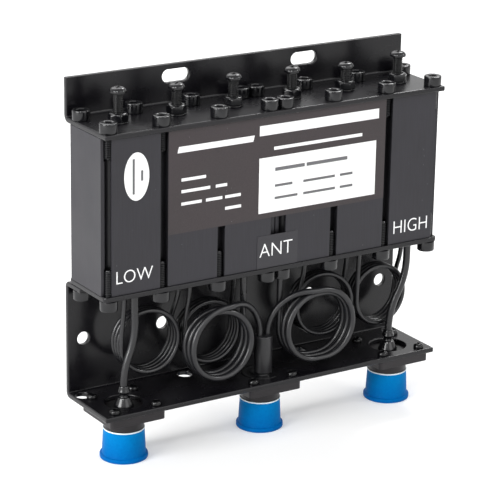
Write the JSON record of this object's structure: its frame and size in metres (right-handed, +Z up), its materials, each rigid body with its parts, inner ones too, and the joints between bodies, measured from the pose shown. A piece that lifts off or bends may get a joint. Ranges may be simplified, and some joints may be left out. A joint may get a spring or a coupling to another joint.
{
  "type": "rf duplexer",
  "caption": "Mobile radio duplexer: black cavity filter block between sheet brackets, tuning screws on top, coiled coax leads and blue-capped coax ports below.",
  "frame": {"origin": "middle of the surface it stands on, under the middle of its box", "axes": "+X along its width towards the high port, +Y to the back with the mounting flange, +Z up"},
  "size_m": [0.1552, 0.0324, 0.1497],
  "materials": {
    "black_anodised": "satin",
    "black_painted_steel": "satin",
    "black_oxide_steel": "satin",
    "blackened_hardware": "satin",
    "copper_wire": "bare copper",
    "dark_nickel": "dark plated",
    "insulator_plastic": "matte",
    "contact_brass": "turned",
    "blue_plastic": "soft gloss",
    "boot_rubber": "matte",
    "sleeve_plastic": "matte",
    "cable_jacket": "satin"
  },
  "bodies": {
    "housing": {"bottom_cap_screws": "black_oxide_steel", "bottom_plate": "black_painted_steel", "cable_1_to_2": "cable_jacket", "cable_2_to_3": "cable_jacket", "cable_3_to_antenna": "cable_jacket", "cable_4_to_5": "cable_jacket", "cable_5_to_6": "cable_jacket", "cable_6_to_high": "cable_jacket", "cable_antenna_to_4": "cable_jacket", "cable_boot_high": "boot_rubber", "cable_boot_low": "boot_rubber", "cable_low_to_1": "cable_jacket", "cavity_block_high": "black_anodised", "cavity_block_low": "black_anodised", "coupling_loops": "copper_wire", "lock_washers": "blackened_hardware", "lower_bracket": "black_painted_steel", "port_body_ant": "dark_nickel", "port_body_high": "dark_nickel", "port_body_low": "dark_nickel", "port_contact_ant": "contact_brass", "port_contact_high": "contact_brass", "port_contact_low": "contact_brass", "port_insulator_ant": "insulator_plastic", "port_insulator_high": "insulator_plastic", "port_insulator_low": "insulator_plastic", "port_screws": "black_oxide_steel", "resonator_1": "copper_wire", "resonator_2": "copper_wire", "resonator_3": "copper_wire", "resonator_4": "copper_wire", "resonator_5": "copper_wire", "resonator_6": "copper_wire", "tee_sleeve": "sleeve_plastic", "top_bracket": "black_painted_steel", "top_cap_screws": "black_oxide_steel"},
    "tuning_screw_1": {"tuning_screw_1": "blackened_hardware"},
    "lock_nut_1": {"lock_nut_1": "blackened_hardware"},
    "tuning_screw_2": {"tuning_screw_2": "blackened_hardware"},
    "lock_nut_2": {"lock_nut_2": "blackened_hardware"},
    "tuning_screw_3": {"tuning_screw_3": "blackened_hardware"},
    "lock_nut_3": {"lock_nut_3": "blackened_hardware"},
    "tuning_screw_4": {"tuning_screw_4": "blackened_hardware"},
    "lock_nut_4": {"lock_nut_4": "blackened_hardware"},
    "tuning_screw_5": {"tuning_screw_5": "blackened_hardware"},
    "lock_nut_5": {"lock_nut_5": "blackened_hardware"},
    "tuning_screw_6": {"tuning_screw_6": "blackened_hardware"},
    "lock_nut_6": {"lock_nut_6": "blackened_hardware"},
    "dust_cap_low": {"dust_cap_low": "blue_plastic"},
    "dust_cap_ant": {"dust_cap_ant": "blue_plastic"},
    "dust_cap_high": {"dust_cap_high": "blue_plastic"}
  },
  "joints": [
    {"name": "tuning_1", "type": "slide", "parent": "housing", "child": "tuning_screw_1", "axis": [0, 0, 1], "range_m": [-0.0075, 0.006]},
    {"name": "lock_nut_turn_1", "type": "hinge", "parent": "housing", "child": "lock_nut_1", "pos_m": [-0.06415, -0.00175, 0.1368], "axis": [0, 0, 1], "range_deg": [0, 180]},
    {"name": "tuning_2", "type": "slide", "parent": "housing", "child": "tuning_screw_2", "axis": [0, 0, 1], "range_m": [-0.006, 0.006]},
    {"name": "lock_nut_turn_2", "type": "hinge", "parent": "housing", "child": "lock_nut_2", "pos_m": [-0.0388, -0.00175, 0.1368], "axis": [0, 0, 1], "range_deg": [0, 180]},
    {"name": "tuning_3", "type": "slide", "parent": "housing", "child": "tuning_screw_3", "axis": [0, 0, 1], "range_m": [-0.0066, 0.006]},
    {"name": "lock_nut_turn_3", "type": "hinge", "parent": "housing", "child": "lock_nut_3", "pos_m": [-0.01345, -0.00175, 0.1368], "axis": [0, 0, 1], "range_deg": [0, 180]},
    {"name": "tuning_4", "type": "slide", "parent": "housing", "child": "tuning_screw_4", "axis": [0, 0, 1], "range_m": [-0.0062, 0.006]},
    {"name": "lock_nut_turn_4", "type": "hinge", "parent": "housing", "child": "lock_nut_4", "pos_m": [0.01345, -0.00175, 0.1368], "axis": [0, 0, 1], "range_deg": [0, 180]},
    {"name": "tuning_5", "type": "slide", "parent": "housing", "child": "tuning_screw_5", "axis": [0, 0, 1], "range_m": [-0.005, 0.006]},
    {"name": "lock_nut_turn_5", "type": "hinge", "parent": "housing", "child": "lock_nut_5", "pos_m": [0.0388, -0.00175, 0.1368], "axis": [0, 0, 1], "range_deg": [0, 180]},
    {"name": "tuning_6", "type": "slide", "parent": "housing", "child": "tuning_screw_6", "axis": [0, 0, 1], "range_m": [-0.0066, 0.006]},
    {"name": "lock_nut_turn_6", "type": "hinge", "parent": "housing", "child": "lock_nut_6", "pos_m": [0.06415, -0.00175, 0.1368], "axis": [0, 0, 1], "range_deg": [0, 180]},
    {"name": "dust_cap_low_pull", "type": "slide", "parent": "housing", "child": "dust_cap_low", "axis": [0, 0, -1], "range_m": [0, 0.04]},
    {"name": "dust_cap_ant_pull", "type": "slide", "parent": "housing", "child": "dust_cap_ant", "axis": [0, 0, -1], "range_m": [0, 0.04]},
    {"name": "dust_cap_high_pull", "type": "slide", "parent": "housing", "child": "dust_cap_high", "axis": [0, 0, -1], "range_m": [0, 0.04]}
  ]
}
